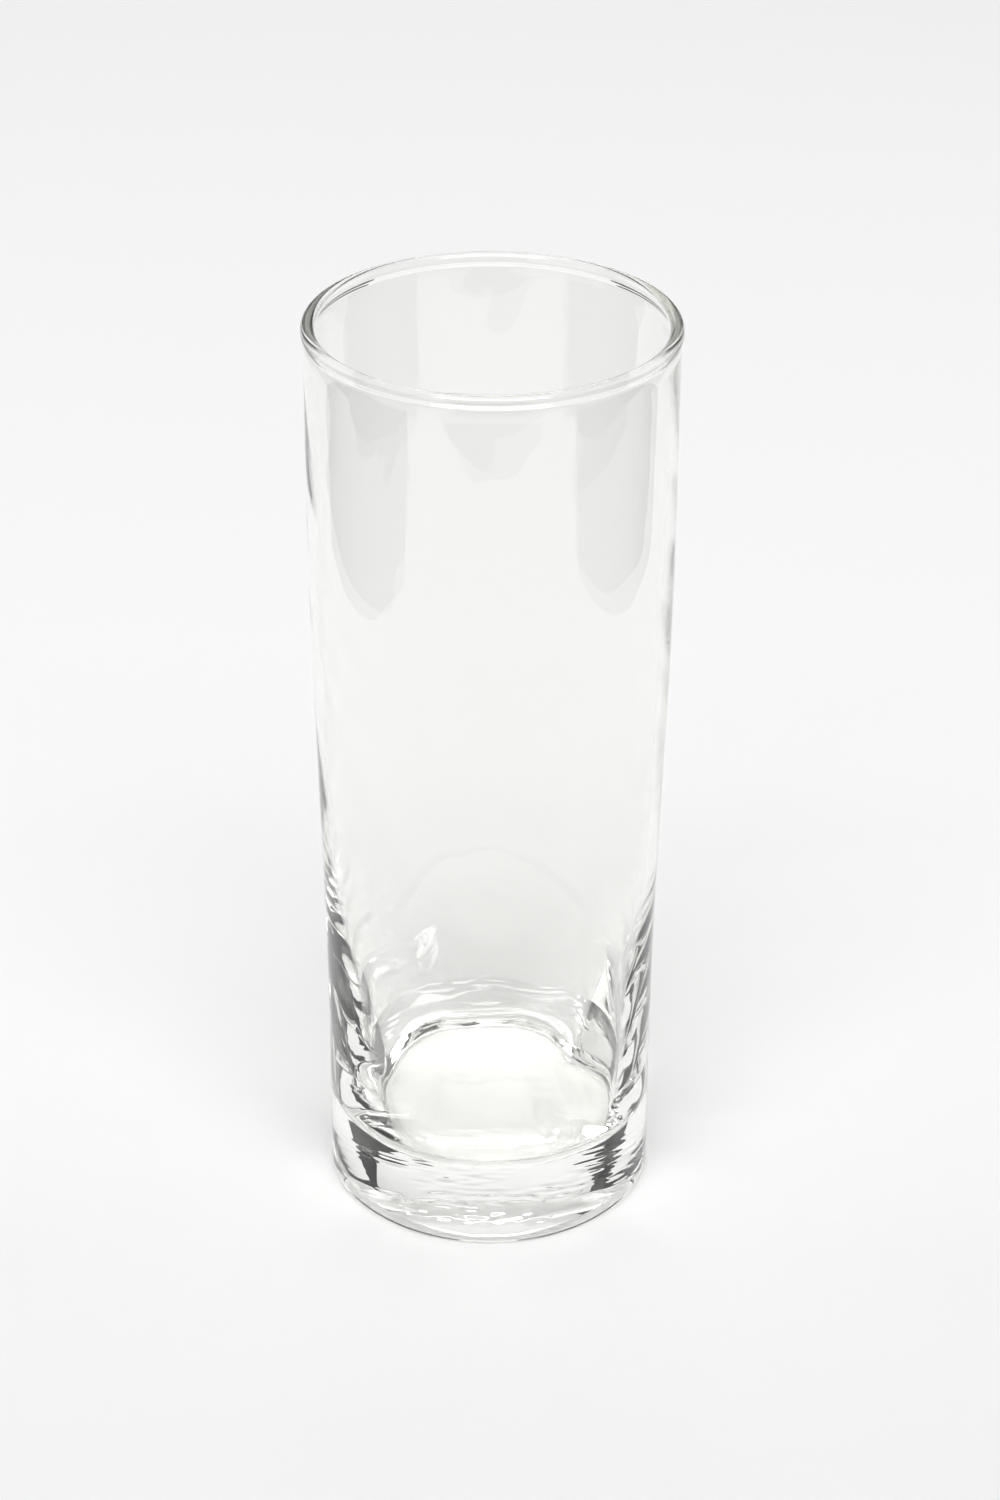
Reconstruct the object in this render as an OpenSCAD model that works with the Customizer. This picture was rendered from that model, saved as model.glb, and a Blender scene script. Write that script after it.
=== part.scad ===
// Straight-sided highball drinking glass: one piece of clear glass with a heavy base.
// The origin is the centre of the foot, on the table, and Z points up. Lengths are millimetres.

/* [Outline] */
// Height from the table to the top of the rim
glass_height = 160; // [145:1:180]
// Outer radius of the upright stretch above the foot
foot_radius = 27.95; // [26.5:0.05:29]
// Outer radius of the wall just under the rim
mouth_radius = 30; // [29.3:0.05:31.5]
// Height at which the wall starts to lean outwards
lean_start = 26; // [10:1:40]
// Height at which the wall stands upright again
lean_end = 128; // [100:1:138]

/* [Rim] */
// Radius of the fire-polished bead that ends the wall, seen in section
lip_radius = 1.15; // [1.05:0.05:1.2]
// How far the bead stands out past the wall under it
lip_overhang = 0.4; // [0.2:0.05:0.6]
// Radius of the hollow rounding that leads the outside of the wall out to the bead
swell_fillet = 15; // [6:1:20]
// Radius of the tighter rounding under the bead, on the side of the bore
bead_fillet = 1.2; // [0.8:0.1:3]

/* [Wall] */
// Wall thickness just under the bead
wall_thickness = 1.2; // [1:0.05:1.4]
// How much the wall slowly thickens on its way down to where the heavy part starts
wall_taper = 0.7; // [0.3:0.1:1]
// Extra thickness that the heavy part of the wall gains down to the height of the floor
wall_gain = 6; // [4:0.1:6.5]
// Height below which the wall gains it
gain_start = 66; // [60:1:95]
// How late the wall thickens: a higher power keeps the gain nearer the floor
gain_power = 2.1; // [1.6:0.1:3]

/* [Base] */
// Height of the inner floor over the table
floor_height = 12; // [10:0.5:16]
// Radius of the wide rounding between the floor and the wall
floor_fillet = 4.5; // [3:0.1:5.5]
// How far the floor's edge strays from round where it strays most
floor_stray = 2.8; // [0:0.1:3]
// Height above which the bore is round again
round_start = 56; // [50:1:65]
// Radius of the rounding at the outer edge of the foot
heel_radius = 1.4; // [1:0.1:2.5]
// Outer radius of the shallow hollow under the foot
punt_radius = 22; // [18:0.5:24]
// Depth of that hollow at its centre
punt_depth = 0.8; // [0.4:0.1:1.2]

/* [Hidden] */
// Straight steps that a leaning wall, a small rounding and the bead are drawn with
wall_steps = 30;
arc_steps = 8;
lip_steps = 20;
// Steps round and up the uneven part of the bore, and round its fillet
well_sides = 120;
well_steps = 14;
fillet_steps = 7;
// How much narrower the uneven part starts than the round bore above it
seat_step = 0.02;
// How far a cut runs past the face that it opens
overrun = 1;
// Directions round the axis where the floor's edge bulges or dips, and by what share of the most
edge_turns = [-24, 0, 32, 60, 93, 130, 155, 208, 240, 270, 300];
edge_shares = [0.71, 0.32, -1, -0.14, -0.64, 0.07, -0.14, 0.36, 0.36, 0.21, 0.36];
// How far round each of those directions reaches, in degrees
edge_reach = 17;
// Faces round the axis
$fn = 144;
// How far the bead stands in past the wall under it, and where its centre is
lip_bulge = 2 * lip_radius - lip_overhang - wall_thickness;
lip_centre = mouth_radius + lip_overhang - lip_radius;
lip_height = glass_height - lip_radius;
// Heights at which the outside and the bore leave the wall for the bead
swell_start = lip_height - fillet_drop(swell_fillet, lip_overhang);
bore_end = lip_height - fillet_drop(bead_fillet, lip_bulge);
// Radius of the sphere that hollows the underside
punt_sphere = (pow(punt_radius, 2) + pow(punt_depth, 2)) / (2 * punt_depth);

// How far a value has come from one limit to the other, held between 0 and 1
function progress(value, from, to) = min(max((value - from) / (to - from), 0), 1);

// The same progress, starting and ending gently
function eased(share) = share * share * (3 - 2 * share);

// How far below the bead's centre a rounding that leads out to it starts
function fillet_drop(fillet, past) =
    sqrt(pow(lip_radius + fillet, 2) - pow(lip_radius - past + fillet, 2));

// How far round such a rounding and the bead share the turn
function fillet_turn(fillet, past) = acos((lip_radius - past + fillet) / (lip_radius + fillet));

// Outer radius of the wall at a height
function outer_radius_at(z) =
    foot_radius + (mouth_radius - foot_radius) * eased(progress(z, lean_start, lean_end));

// Thickness of the wall at a height: thin above and heavy at the floor
function thickness_at(z) =
    wall_thickness
    + wall_taper * progress(z, bore_end, gain_start)
    + wall_gain * pow(progress(z, gain_start, floor_height), gain_power);

// Radius of the bore at a height
function inner_radius_at(z) = outer_radius_at(z) - thickness_at(z);

// Points of a round arc in the section, both ends included
function arc(centre, radius, from, to, steps) = [
    for (i = [0 : steps])
        let (angle = from + (to - from) * i / steps)
        centre + radius * [cos(angle), sin(angle)]
];

// The same arc with its last point left out
function open_arc(centre, radius, from, to, steps) =
    [for (i = [0 : steps - 1]) arc(centre, radius, from, to, steps)[i]];

// Equal steps between two heights, with both ends left out
function between(from, to, steps) = [for (i = [1 : steps - 1]) from + (to - from) * i / steps];

// A list taken from its end to its start
function backwards(list) = [for (i = [1 : len(list)]) list[len(list) - i]];

// Points of the foot, from the axis out and round the heel
function foot_points() = concat(
    [[0, 0]],
    arc([foot_radius - heel_radius, heel_radius], heel_radius, -90, 0, arc_steps)
);

// Points up the outside of the wall, between the heel and the swell
function outside_points() =
    [for (z = between(heel_radius, swell_start, wall_steps)) [outer_radius_at(z), z]];

// Points of the bead and of the roundings that lead to it, from the outside to the bore
function lip_points() =
    let (out = fillet_turn(swell_fillet, lip_overhang), in = fillet_turn(bead_fillet, lip_bulge))
    let (bore_fillet_centre = [mouth_radius - wall_thickness - bead_fillet, bore_end])
    concat(
        open_arc([mouth_radius + swell_fillet, swell_start], swell_fillet, 180, 180 - out, arc_steps),
        arc([lip_centre, lip_height], lip_radius, -out, 180 + in, lip_steps),
        backwards(open_arc(bore_fillet_centre, bead_fillet, 0, in, arc_steps))
    );

// Points of the round part of the bore, from where it starts up to the bead
function bore_points() = concat(
    [[0, round_start], [inner_radius_at(round_start), round_start]],
    [for (z = between(round_start, bore_end, wall_steps)) [inner_radius_at(z), z]]
);

// The smaller angle between two directions
function apart(a, b) = abs(((a - b) % 360 + 540) % 360 - 180);

// How strongly one of the named directions acts at a turn
function pull(turn, i) = exp(-pow(apart(turn, edge_turns[i]) / edge_reach, 2));

// How far the floor's edge strays from round at a turn
function stray_at(turn) =
    let (pulls = [for (i = [0 : len(edge_turns) - 1]) pull(turn, i)])
    floor_stray * (pulls * edge_shares) / (pulls * [for (p = pulls) 1]);

// Radius of the uneven bore at a height and a turn
function well_radius_at(z, turn) =
    inner_radius_at(z) - seat_step + stray_at(turn) * eased(progress(z, round_start, floor_height));

// One ring of the uneven bore: moved in from the wall by an inset, at a height
function well_ring(z_wall, inset, z) = [
    for (i = [0 : well_sides - 1])
        let (turn = 360 * i / well_sides, r = well_radius_at(z_wall, turn) - inset)
        [r * cos(turn), r * sin(turn), z]
];

// Rings from the floor's edge round the fillet and up to the round bore
function well_rings() =
    let (corner = floor_height + floor_fillet)
    let (rise = inner_radius_at(corner + floor_fillet) - inner_radius_at(corner))
    let (lean = atan(rise / floor_fillet), touch = corner - floor_fillet * sin(lean))
    concat(
        [
            for (i = [0 : fillet_steps - 1])
                let (angle = -90 + (90 - lean) * i / fillet_steps)
                let (inset = floor_fillet * (cos(lean) - cos(angle)))
                well_ring(touch, inset, corner + floor_fillet * sin(angle))
        ],
        [
            for (i = [0 : well_steps])
                let (z = touch + (round_start + overrun - touch) * i / well_steps)
                well_ring(min(z, round_start), 0, z)
        ]
    );

// The uneven lower part of the bore, as a closed solid to cut with
module well() {
    rings = well_rings();
    last = len(rings) - 1;
    polyhedron(
        points = [for (ring = rings) each ring],
        faces = concat(
            [[for (i = [0 : well_sides - 1]) i]],
            [
                for (k = [0 : last - 1], i = [0 : well_sides - 1])
                    let (next = (i + 1) % well_sides, low = k * well_sides, high = low + well_sides)
                    each [[low + i, high + i, high + next], [low + i, high + next, low + next]]
            ],
            [[for (i = [1 : well_sides]) (last + 1) * well_sides - i]]
        )
    );
}

// The blown body: thin upper wall, beaded lip, heavy uneven floor and hollowed underside
module glass_body() {
    color([0.86, 0.92, 0.91, 0.45])
    difference() {
        rotate_extrude()
            polygon(concat(foot_points(), outside_points(), lip_points(), backwards(bore_points())));
        translate([0, 0, punt_depth - punt_sphere])
            sphere(punt_sphere);
        well();
    }
}

glass_body();
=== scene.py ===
import math

import bpy
from mathutils import Matrix, Vector, noise


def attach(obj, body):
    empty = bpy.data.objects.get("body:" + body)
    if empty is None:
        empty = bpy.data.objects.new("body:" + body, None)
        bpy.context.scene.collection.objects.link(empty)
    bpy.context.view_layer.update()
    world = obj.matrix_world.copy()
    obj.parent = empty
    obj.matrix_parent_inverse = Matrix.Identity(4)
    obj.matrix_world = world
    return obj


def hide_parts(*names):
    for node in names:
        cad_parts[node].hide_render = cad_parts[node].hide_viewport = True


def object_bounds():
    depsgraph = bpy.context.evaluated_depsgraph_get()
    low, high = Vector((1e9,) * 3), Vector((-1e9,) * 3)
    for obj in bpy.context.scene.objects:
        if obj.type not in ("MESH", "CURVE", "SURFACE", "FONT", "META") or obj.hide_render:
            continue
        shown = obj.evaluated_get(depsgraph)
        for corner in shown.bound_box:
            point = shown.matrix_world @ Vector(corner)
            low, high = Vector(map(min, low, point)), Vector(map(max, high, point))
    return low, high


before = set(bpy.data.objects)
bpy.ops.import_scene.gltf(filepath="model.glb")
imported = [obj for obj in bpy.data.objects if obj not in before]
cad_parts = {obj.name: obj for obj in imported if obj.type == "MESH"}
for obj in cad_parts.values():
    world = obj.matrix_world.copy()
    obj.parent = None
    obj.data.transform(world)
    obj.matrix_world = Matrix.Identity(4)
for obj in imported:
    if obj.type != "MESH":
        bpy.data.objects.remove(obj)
cad_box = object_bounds()

# Sizes of the glass in metres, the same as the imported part's
GLASS_HEIGHT = cad_box[1][2] - cad_box[0][2]
LIP_OUTER_RADIUS = cad_box[1][0]
LIP_OVERHANG = 0.0004
LIP_RADIUS = 0.00115
SWELL_FILLET = 0.015
BEAD_FILLET = 0.0012
FOOT_RADIUS = 0.02795
LEAN_START = 0.026
LEAN_END = 0.128
WALL_THICKNESS = 0.0012
WALL_TAPER = 0.0007
WALL_GAIN = 0.0060
GAIN_START = 0.066
GAIN_POWER = 2.1
FLOOR_HEIGHT = 0.012
FLOOR_FILLET = 0.0045
ROUND_START = 0.056
HEEL_RADIUS = 0.0014
PUNT_RADIUS = 0.022
PUNT_DEPTH = 0.0008

MOUTH_RADIUS = LIP_OUTER_RADIUS - LIP_OVERHANG
LIP_HEIGHT = GLASS_HEIGHT - LIP_RADIUS
LIP_BULGE = 2.0 * LIP_RADIUS - LIP_OVERHANG - WALL_THICKNESS

# Directions round the axis, in degrees, and how far the floor's edge strays there from round
FLOOR_EDGE = [
    (-24, 0.0020), (0, 0.0009), (32, -0.0028), (60, -0.0004), (93, -0.0018), (130, 0.0002),
    (155, -0.0004), (208, 0.0010), (240, 0.0010), (270, 0.0006), (300, 0.0010),
]
# How far round each direction reaches, in degrees
EDGE_REACH = 17.0
# A higher power keeps the unevenness nearer to the floor
STRAY_POWER = 2.0

# Ripples of the blown wall: turns round the axis, waves up the height, start in degrees, depth
OUTER_RIPPLES = [
    (3, 2.0, 40, 0.000022), (5, 3.1, 150, 0.000014), (9, 5.3, 80, 0.000009),
    (17, 11.3, 20, 0.000005),
]
INNER_RIPPLES = [
    (1, 0.0, -90, 0.00018), (2, 1.3, 100, 0.00006), (4, 2.6, 10, 0.00003),
    (7, 4.2, 200, 0.000018), (11, 6.1, 300, 0.000011), (19, 12.7, 140, 0.000006),
]
# Heights at which the ripples start and have their full depth
RIPPLE_START = 0.026
RIPPLE_FULL = 0.075
# How far below the swell the ripples start to fade out on their way up to the rim
RIPPLE_FADE = 0.004
# How far the phase of a ripple sways on its way up, in radians, and the rate of that sway
RIPPLE_SWAY = 0.8
SWAY_RATE = 0.37

# Chill marks in the hollow under the foot: their size and depth, and the layer of the noise
# that sets most of them at the front
MARK_SIZE = 0.0021
MARK_DEPTH = 0.00012
MARK_LAYER = 0.059
# Size of the patches that the marks come in, and the noise at which a patch starts and is full
PATCH_SIZE = 0.0070
PATCH_LOW = -0.30
PATCH_HIGH = 0.25

# Fineness of the mesh
SEGMENTS = 288
FOOT_STEPS = 80
WALL_STEPS = 120
ARC_STEPS = 24
LIP_STEPS = 36
DISC_STEPS = 14
# A higher power sets the rings of the wall closer together near the base
RING_CROWDING = 1.5

# Clear glass: the surface lets nearly all light through, the depth adds a warm grey tint
GLASS_COLOUR = (0.990, 0.991, 0.980, 1.0)
GLASS_IOR = 1.52
TINT_COLOUR = (0.80, 0.81, 0.75, 1.0)
TINT_DENSITY = 4.0


def fillet_drop(fillet, past):
    """How far below the bead's centre a rounding that leads out to it starts."""
    return math.sqrt((LIP_RADIUS + fillet) ** 2 - (LIP_RADIUS - past + fillet) ** 2)


def fillet_turn(fillet, past):
    """How far round such a rounding goes, in degrees."""
    return math.degrees(math.acos((LIP_RADIUS - past + fillet) / (LIP_RADIUS + fillet)))


# Heights at which the outside and the bore leave the wall for the bead
SWELL_START = LIP_HEIGHT - fillet_drop(SWELL_FILLET, LIP_OVERHANG)
BORE_END = LIP_HEIGHT - fillet_drop(BEAD_FILLET, LIP_BULGE)


def progress(value, start, end):
    """How far a value has come from start to end, held between 0 and 1."""
    return min(max((value - start) / (end - start), 0.0), 1.0)


def eased(share):
    """The same progress, starting and ending gently."""
    return share * share * (3.0 - 2.0 * share)


def outer_radius(z):
    """Radius of the outside of the wall at a height."""
    lean = (MOUTH_RADIUS - FOOT_RADIUS) * eased(progress(z, LEAN_START, LEAN_END))
    return FOOT_RADIUS + lean


def inner_radius(z):
    """Radius of the bore at a height, without the unevenness of the floor's edge."""
    taper = WALL_TAPER * progress(z, BORE_END, GAIN_START)
    gain = WALL_GAIN * progress(z, GAIN_START, FLOOR_HEIGHT) ** GAIN_POWER
    return outer_radius(z) - WALL_THICKNESS - taper - gain


def floor_stray(angle):
    """How far the floor's edge strays from round in one direction."""
    total = 0.0
    weight = 0.0
    for place, amount in FLOOR_EDGE:
        apart = (math.degrees(angle) - place + 180.0) % 360.0 - 180.0
        near = math.exp(-(apart / EDGE_REACH) ** 2)
        total += near * amount
        weight += near
    return total / weight


def ripple(ripples, angle, z):
    """How far the waves of the blown wall push it out at a place."""
    total = 0.0
    for turns, waves, start, depth in ripples:
        climb = 2.0 * math.pi * waves * z / GLASS_HEIGHT
        sway = RIPPLE_SWAY * math.sin(SWAY_RATE * climb)
        phase = turns * angle + math.radians(start) + climb + sway
        total += depth * math.sin(phase)
    fade_low = eased(progress(z, RIPPLE_START, RIPPLE_FULL))
    fade_high = eased(progress(z, GLASS_HEIGHT, SWELL_START - RIPPLE_FADE))
    return total * fade_low * fade_high


ANGLES = [2.0 * math.pi * s / SEGMENTS for s in range(SEGMENTS)]
STRAYS = [floor_stray(angle) for angle in ANGLES]


def arc(centre, radius, start, end, steps):
    """Points of a round arc in the section, from start to end in degrees."""
    points = []
    for i in range(steps + 1):
        angle = math.radians(start + (end - start) * i / steps)
        points.append((centre[0] + radius * math.cos(angle), centre[1] + radius * math.sin(angle)))
    return points


def heights(low, high):
    """Heights between two limits, closer together near the base."""
    shares = [(i / WALL_STEPS) ** RING_CROWDING for i in range(1, WALL_STEPS)]
    return [low + (high - low) * share for share in shares]


def round_rings(points):
    """A ring for each point of the section, the same all the way round."""
    return [([r] * SEGMENTS, [z] * SEGMENTS) for r, z in points]


def chill_mark(x, y):
    """How far the marks under the foot go up or down at a place."""
    place = Vector((x, y, MARK_LAYER))
    patch = eased(progress(noise.noise(place / PATCH_SIZE), PATCH_LOW, PATCH_HIGH))
    return MARK_DEPTH * patch * noise.noise(place / MARK_SIZE)


def foot_rings():
    """The marked hollow under the foot and the rounding at its outer edge."""
    rings = []
    for i in range(1, FOOT_STEPS + 1):
        share = i / FOOT_STEPS
        r = PUNT_RADIUS * share
        rise = 1.0 - share ** 2
        marks = [rise * chill_mark(r * math.cos(a), r * math.sin(a)) for a in ANGLES]
        rings.append(([r] * SEGMENTS, [PUNT_DEPTH * rise + mark for mark in marks]))
    heel = arc((FOOT_RADIUS - HEEL_RADIUS, HEEL_RADIUS), HEEL_RADIUS, -90, 0, ARC_STEPS)
    return rings + round_rings(heel)


def outside_rings():
    """The outside of the wall, from the heel up to the swell."""
    rings = []
    for z in heights(HEEL_RADIUS, SWELL_START):
        radii = [outer_radius(z) + ripple(OUTER_RIPPLES, angle, z) for angle in ANGLES]
        rings.append((radii, [z] * SEGMENTS))
    return rings


def lip_rings():
    """The bead, with the roundings that lead to it from the outside and the bore."""
    turn_out = fillet_turn(SWELL_FILLET, LIP_OVERHANG)
    turn_in = fillet_turn(BEAD_FILLET, LIP_BULGE)
    swell_centre = (MOUTH_RADIUS + SWELL_FILLET, SWELL_START)
    bead_centre = (LIP_OUTER_RADIUS - LIP_RADIUS, LIP_HEIGHT)
    bore_centre = (MOUTH_RADIUS - WALL_THICKNESS - BEAD_FILLET, BORE_END)
    points = arc(swell_centre, SWELL_FILLET, 180, 180 - turn_out, ARC_STEPS)
    points += arc(bead_centre, LIP_RADIUS, -turn_out, 180 + turn_in, LIP_STEPS)[1:]
    points += arc(bore_centre, BEAD_FILLET, turn_in, 0, ARC_STEPS)[1:]
    return round_rings(points)


def bore_rings():
    """The bore from the bead down to the uneven floor, and in along the floor."""
    corner = FLOOR_HEIGHT + FLOOR_FILLET
    rise = inner_radius(corner + FLOOR_FILLET) - inner_radius(corner)
    lean = math.degrees(math.atan(rise / FLOOR_FILLET))
    touch = corner - FLOOR_FILLET * math.sin(math.radians(lean))
    rings = []
    for z in reversed([touch] + heights(touch, BORE_END)):
        share = eased(progress(z, ROUND_START, FLOOR_HEIGHT)) ** STRAY_POWER
        plain = inner_radius(z)
        radii = [
            plain + share * stray + ripple(INNER_RIPPLES, angle, z)
            for stray, angle in zip(STRAYS, ANGLES)
        ]
        rings.append((radii, [z] * SEGMENTS))
    edge = rings[-1][0]
    inset = FLOOR_FILLET * math.cos(math.radians(lean))
    for across, z in arc((-inset, corner), FLOOR_FILLET, -lean, -90, ARC_STEPS)[1:]:
        rings.append(([r + across for r in edge], [z] * SEGMENTS))
    floor = rings[-1][0]
    for i in range(DISC_STEPS - 1, 0, -1):
        rings.append(([r * i / DISC_STEPS for r in floor], [FLOOR_HEIGHT] * SEGMENTS))
    return rings


def turned_mesh(name, rings, bottom, top):
    """A closed mesh through the rings, with a point on the axis at each end."""
    verts = [(0.0, 0.0, bottom)]
    for radii, levels in rings:
        verts += [(r * math.cos(a), r * math.sin(a), z) for r, a, z in zip(radii, ANGLES, levels)]
    verts.append((0.0, 0.0, top))
    last = 1 + (len(rings) - 1) * SEGMENTS
    faces = []
    for s in range(SEGMENTS):
        following = (s + 1) % SEGMENTS
        faces.append((0, 1 + following, 1 + s))
        for low in range(1, last, SEGMENTS):
            high = low + SEGMENTS
            faces.append((low + s, low + following, high + following, high + s))
        faces.append((last + s, last + following, len(verts) - 1))
    mesh = bpy.data.meshes.new(name)
    mesh.from_pydata(verts, [], faces)
    mesh.shade_smooth()
    obj = bpy.data.objects.new(name, mesh)
    bpy.context.scene.collection.objects.link(obj)
    return obj


def glass_material():
    """Clear glass that takes a warm grey tint only where it is thick."""
    mat = bpy.data.materials.new("clear_glass")
    mat.use_nodes = True
    nodes = mat.node_tree.nodes
    shader = nodes["Principled BSDF"]
    shader.inputs["Base Color"].default_value = GLASS_COLOUR
    shader.inputs["Transmission Weight"].default_value = 1.0
    shader.inputs["Roughness"].default_value = 0.0
    shader.inputs["IOR"].default_value = GLASS_IOR
    volume = nodes.new("ShaderNodeVolumeAbsorption")
    volume.inputs["Color"].default_value = TINT_COLOUR
    volume.inputs["Density"].default_value = TINT_DENSITY
    mat.node_tree.links.new(volume.outputs["Volume"], nodes["Material Output"].inputs["Volume"])
    return mat


glass = turned_mesh(
    "glass_visual",
    foot_rings() + outside_rings() + lip_rings() + bore_rings(),
    PUNT_DEPTH,
    FLOOR_HEIGHT,
)
glass.data.materials.append(glass_material())
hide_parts("glass_body")
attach(glass, "root")

# The table: bearings from the front in degrees, and how far the white paper reaches that way
TABLE_EDGE = [
    (0, 0.335), (28, 0.37), (33, 0.62), (49, 0.62), (52, 0.28),
    (82, 0.245), (112, 0.28), (125, 0.80), (140, 1.56),
]
# How far the paper lies below the foot
TABLE_GAP = 0.0001
PAPER_ROUGHNESS = 0.6
# Painted shade on the paper, darker to the front where the light falls off: where it starts and
# ends, front to back, and the grey at shares of the way
PAINTED_SHADE_START = -0.2
PAINTED_SHADE_END = 1.2
TABLE_PAINTED_SHADE = [
    (0.0, 0.78), (0.03, 0.79), (0.07, 0.80), (0.12, 0.825),
    (0.17, 0.862), (0.24, 0.89), (0.43, 0.915), (0.88, 1.0),
]

# The backdrop: how far back it stands, and how far across and up each of its corners is.
# It is cut away low on both sides, where it would brighten the dark sides of the rim.
BACKDROP_Y = 1.2
BACKDROP_CORNERS = [
    (-0.90, 0.0), (0.72, 0.0), (0.72, 0.04), (0.16, 0.06), (0.16, 0.46), (0.80, 0.82),
    (0.85, 0.90), (1.10, 1.45), (1.10, 1.90), (-0.90, 1.90), (-0.90, 0.82), (-0.16, 0.46),
    (-0.16, 0.06), (-0.90, 0.04),
]
# Heights between which its glow fades, and the glow below and above them
FADE_LOW = 0.75
FADE_HIGH = 1.5
GLOW_LOW = 1.0
GLOW_HIGH = 0.76

# The reflectors low in front: bearings of their upright edges from the back in degrees, how far
# from the axis those stand, and the heights of their lower and upper edges
REFLECTOR_FROM = 105
REFLECTOR_TO = 158
REFLECTOR_REACH = 0.80
REFLECTOR_LOW = -0.06
REFLECTOR_HIGH = 0.43
# Name, side of the camera and strength of each of them
REFLECTORS = [("left", -1, 0.80), ("right", 1, 0.15)]

# The softboxes: bearings from the back in degrees, places and sizes in metres, powers in watts
LAMP_AIM = (0.0, 0.0, 0.0)
SIDE_LEFT_TURN = -66
SIDE_RIGHT_TURN = 68
SIDE_REACH = 0.95
SIDE_HEIGHT = 0.50
SIDE_SIZE = 0.62
SIDE_POWER = 1.2
TOP_PLACE = (0.0, -0.17, 2.00)
TOP_WIDTH = 1.44
TOP_DEPTH = 1.80
TOP_POWER = 20.1
FRONT_PLACE = (0.0, -1.47, 2.17)
FRONT_WIDTH = 2.60
FRONT_DEPTH = 0.87
FRONT_POWER = 43.0
# The room around it all is nearly dark
ROOM_COLOUR = (0.01, 0.01, 0.01, 1.0)
WHITE = (1.0, 1.0, 1.0, 1.0)


def glow_material(name, strength):
    """A surface that gives off plain white light."""
    mat = bpy.data.materials.new(name)
    mat.use_nodes = True
    nodes = mat.node_tree.nodes
    nodes.clear()
    emission = nodes.new("ShaderNodeEmission")
    emission.inputs["Color"].default_value = WHITE
    emission.inputs["Strength"].default_value = strength
    output = nodes.new("ShaderNodeOutputMaterial")
    mat.node_tree.links.new(emission.outputs["Emission"], output.inputs["Surface"])
    return mat


def card(name, corners, mat):
    """A flat sheet of the studio."""
    mesh = bpy.data.meshes.new(name)
    mesh.from_pydata(corners, [], [tuple(range(len(corners)))])
    obj = bpy.data.objects.new(name, mesh)
    bpy.context.scene.collection.objects.link(obj)
    mesh.materials.append(mat)


def area_light(name, place, width, depth, power):
    """A softbox that faces the foot of the glass."""
    data = bpy.data.lights.new(name, "AREA")
    data.shape = "RECTANGLE"
    data.size = width
    data.size_y = depth
    data.energy = power
    obj = bpy.data.objects.new(name, data)
    bpy.context.scene.collection.objects.link(obj)
    obj.location = place
    obj.rotation_euler = (Vector(LAMP_AIM) - Vector(place)).to_track_quat("-Z", "Y").to_euler()


def table_corners():
    """Corners of the white paper, alike on the left and the right."""
    half = []
    for turn, reach in TABLE_EDGE:
        angle = math.radians(turn)
        half.append((reach * math.sin(angle), -reach * math.cos(angle), -TABLE_GAP))
    return half + [(-x, y, z) for x, y, z in reversed(half[1:])]


def table_material():
    """White paper with painted shade, greyer towards the front where the lamps' light falls off.
    """
    mat = bpy.data.materials.new("white_sweep")
    mat.use_nodes = True
    nodes = mat.node_tree.nodes
    links = mat.node_tree.links
    shader = nodes["Principled BSDF"]
    shader.inputs["Roughness"].default_value = PAPER_ROUGHNESS
    shader.inputs["Specular IOR Level"].default_value = 0.0
    place = nodes.new("ShaderNodeTexCoord")
    split = nodes.new("ShaderNodeSeparateXYZ")
    span = nodes.new("ShaderNodeMapRange")
    span.inputs["From Min"].default_value = PAINTED_SHADE_START
    span.inputs["From Max"].default_value = PAINTED_SHADE_END
    # Painted shade: the ramp makes the paper greyer towards the front and white at the back
    painted_shade_ramp = nodes.new("ShaderNodeValToRGB")
    stops = painted_shade_ramp.color_ramp.elements
    for share, _ in TABLE_PAINTED_SHADE[:-2]:
        stops.new(share)
    for stop, (share, grey) in zip(stops, TABLE_PAINTED_SHADE):
        stop.position = share
        stop.color = (grey, grey, grey, 1.0)
    links.new(place.outputs["Object"], split.inputs["Vector"])
    links.new(split.outputs["Y"], span.inputs["Value"])
    links.new(span.outputs["Result"], painted_shade_ramp.inputs["Fac"])
    links.new(painted_shade_ramp.outputs["Color"], shader.inputs["Base Color"])
    return mat


def backdrop_material():
    """The sweep behind the glass: bright low down and dimmer higher up."""
    mat = glow_material("backdrop_glow", GLOW_LOW)
    nodes = mat.node_tree.nodes
    links = mat.node_tree.links
    place = nodes.new("ShaderNodeTexCoord")
    split = nodes.new("ShaderNodeSeparateXYZ")
    fade = nodes.new("ShaderNodeMapRange")
    fade.interpolation_type = "SMOOTHSTEP"
    fade.inputs["From Min"].default_value = FADE_LOW
    fade.inputs["From Max"].default_value = FADE_HIGH
    fade.inputs["To Min"].default_value = GLOW_LOW
    fade.inputs["To Max"].default_value = GLOW_HIGH
    links.new(place.outputs["Object"], split.inputs["Vector"])
    links.new(split.outputs["Z"], fade.inputs["Value"])
    links.new(fade.outputs["Result"], nodes["Emission"].inputs["Strength"])
    return mat


def bearing(turn, reach, z):
    """A place at a bearing from the back in degrees, clockwise seen from above."""
    angle = math.radians(turn)
    return (reach * math.sin(angle), reach * math.cos(angle), z)


def reflector(name, side, strength):
    """An upright glowing sheet low in front, on one side of the camera."""
    corners = [
        bearing(side * REFLECTOR_FROM, REFLECTOR_REACH, REFLECTOR_LOW),
        bearing(side * REFLECTOR_TO, REFLECTOR_REACH, REFLECTOR_LOW),
        bearing(side * REFLECTOR_TO, REFLECTOR_REACH, REFLECTOR_HIGH),
        bearing(side * REFLECTOR_FROM, REFLECTOR_REACH, REFLECTOR_HIGH),
    ]
    card("reflector_" + name, corners, glow_material("reflector_glow_" + name, strength))


card("table", table_corners(), table_material())
card("backdrop", [(x, BACKDROP_Y, z) for x, z in BACKDROP_CORNERS], backdrop_material())
for reflector_name, reflector_side, reflector_strength in REFLECTORS:
    reflector(reflector_name, reflector_side, reflector_strength)

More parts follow.
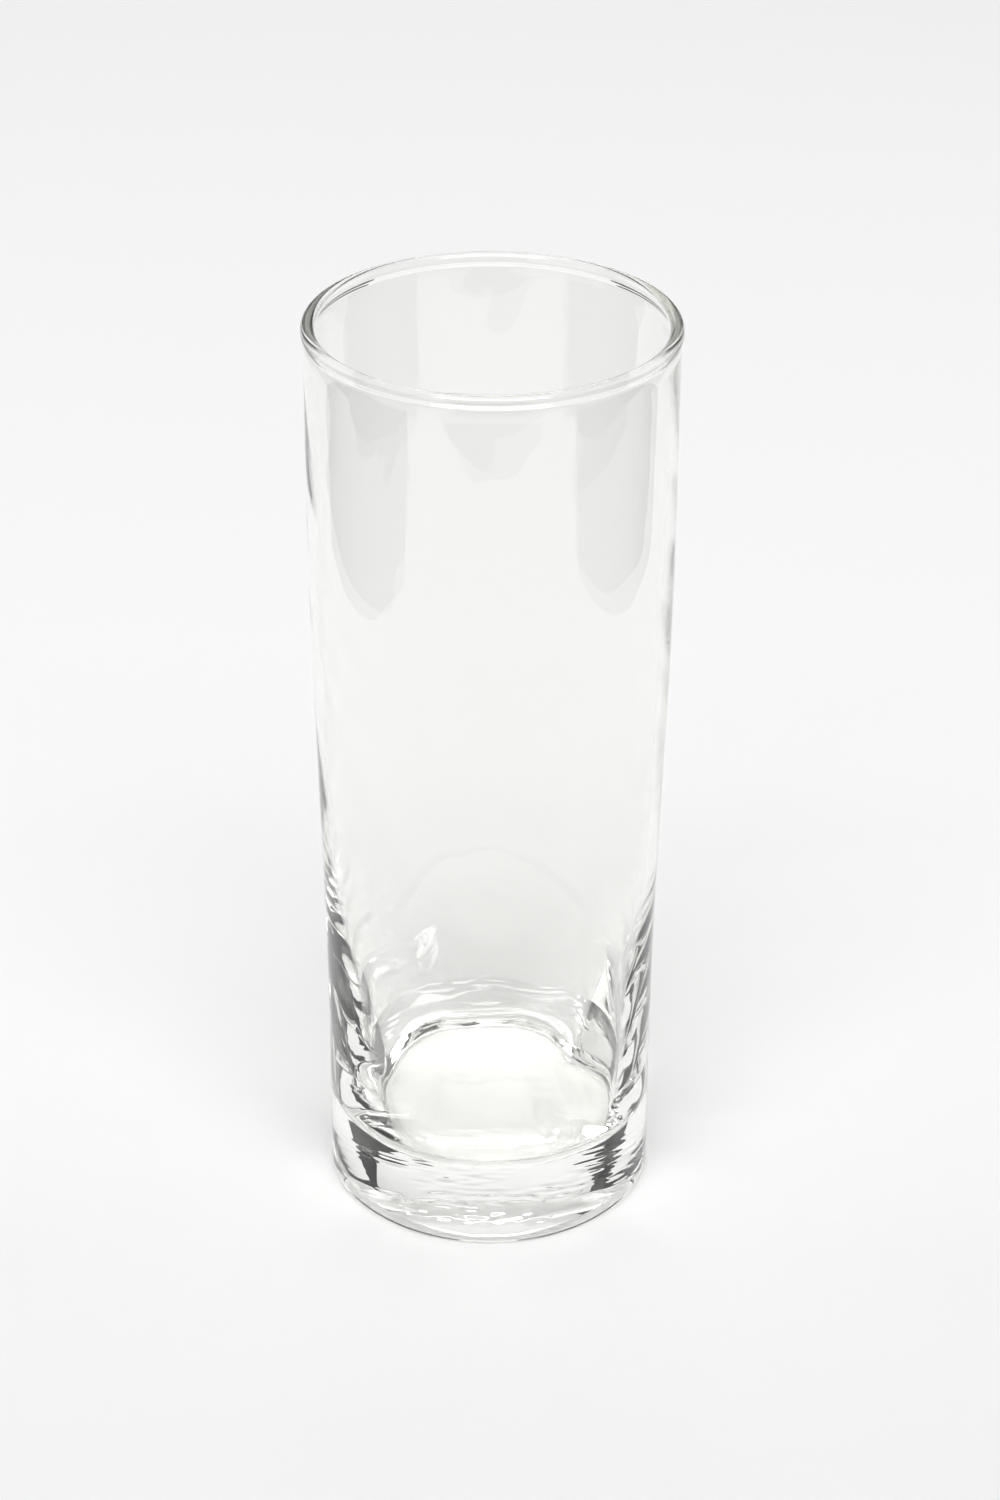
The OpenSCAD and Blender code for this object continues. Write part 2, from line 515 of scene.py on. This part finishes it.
left_place = bearing(SIDE_LEFT_TURN, SIDE_REACH, SIDE_HEIGHT)
right_place = bearing(SIDE_RIGHT_TURN, SIDE_REACH, SIDE_HEIGHT)
area_light("softbox_left", left_place, SIDE_SIZE, SIDE_SIZE, SIDE_POWER)
area_light("softbox_right", right_place, SIDE_SIZE, SIDE_SIZE, SIDE_POWER)
area_light("softbox_top", TOP_PLACE, TOP_WIDTH, TOP_DEPTH, TOP_POWER)
area_light("softbox_front", FRONT_PLACE, FRONT_WIDTH, FRONT_DEPTH, FRONT_POWER)

world = bpy.data.worlds.new("studio")
world.use_nodes = True
world.node_tree.nodes["Background"].inputs["Color"].default_value = ROOM_COLOUR
world.node_tree.nodes["Background"].inputs["Strength"].default_value = 1.0

# Camera, fitted to the rim, the silhouette and the foot in the photograph: place in metres,
# lens and sensor in millimetres, angles in degrees
CAMERA_PLACE = (0.0, -0.54797, 0.38948)
CAMERA_LENS = 89.735
CAMERA_SENSOR = 36.0
CAMERA_YAW = 0.164
CAMERA_PITCH = 29.280
CAMERA_ROLL = 0.316


def aimed_camera():
    """The camera, turned right by its yaw, down by its pitch and tilted by its roll."""
    yaw = math.radians(CAMERA_YAW)
    pitch = math.radians(CAMERA_PITCH)
    roll = math.radians(CAMERA_ROLL)
    flat = math.cos(pitch)
    forward = Vector((math.sin(yaw) * flat, math.cos(yaw) * flat, -math.sin(pitch)))
    right = Vector((math.cos(yaw), -math.sin(yaw), 0.0))
    up = right.cross(forward)
    right_rolled = right * math.cos(roll) + up * math.sin(roll)
    up_rolled = up * math.cos(roll) - right * math.sin(roll)
    data = bpy.data.cameras.new("camera")
    data.lens = CAMERA_LENS
    data.sensor_width = CAMERA_SENSOR
    obj = bpy.data.objects.new("camera", data)
    bpy.context.scene.collection.objects.link(obj)
    turn = Matrix((right_rolled, up_rolled, -forward)).transposed()
    obj.matrix_world = Matrix.Translation(CAMERA_PLACE) @ turn.to_4x4()
    return obj


# Light runs round and round inside the heavy base, so it needs many bounces
GLASS_BOUNCES = 96
TABLE_BOUNCES = 4

scene = bpy.context.scene
scene.world = world
scene.camera = aimed_camera()
scene.view_settings.view_transform = "Standard"
scene.cycles.use_denoising = True
scene.cycles.max_bounces = GLASS_BOUNCES
scene.cycles.transmission_bounces = GLASS_BOUNCES
scene.cycles.glossy_bounces = GLASS_BOUNCES
scene.cycles.diffuse_bounces = TABLE_BOUNCES
# The table gets its light through the glass too, so nothing of it is left out or held down
scene.cycles.caustics_refractive = True
scene.cycles.caustics_reflective = True
scene.cycles.blur_glossy = 0.0
scene.cycles.sample_clamp_indirect = 0.0
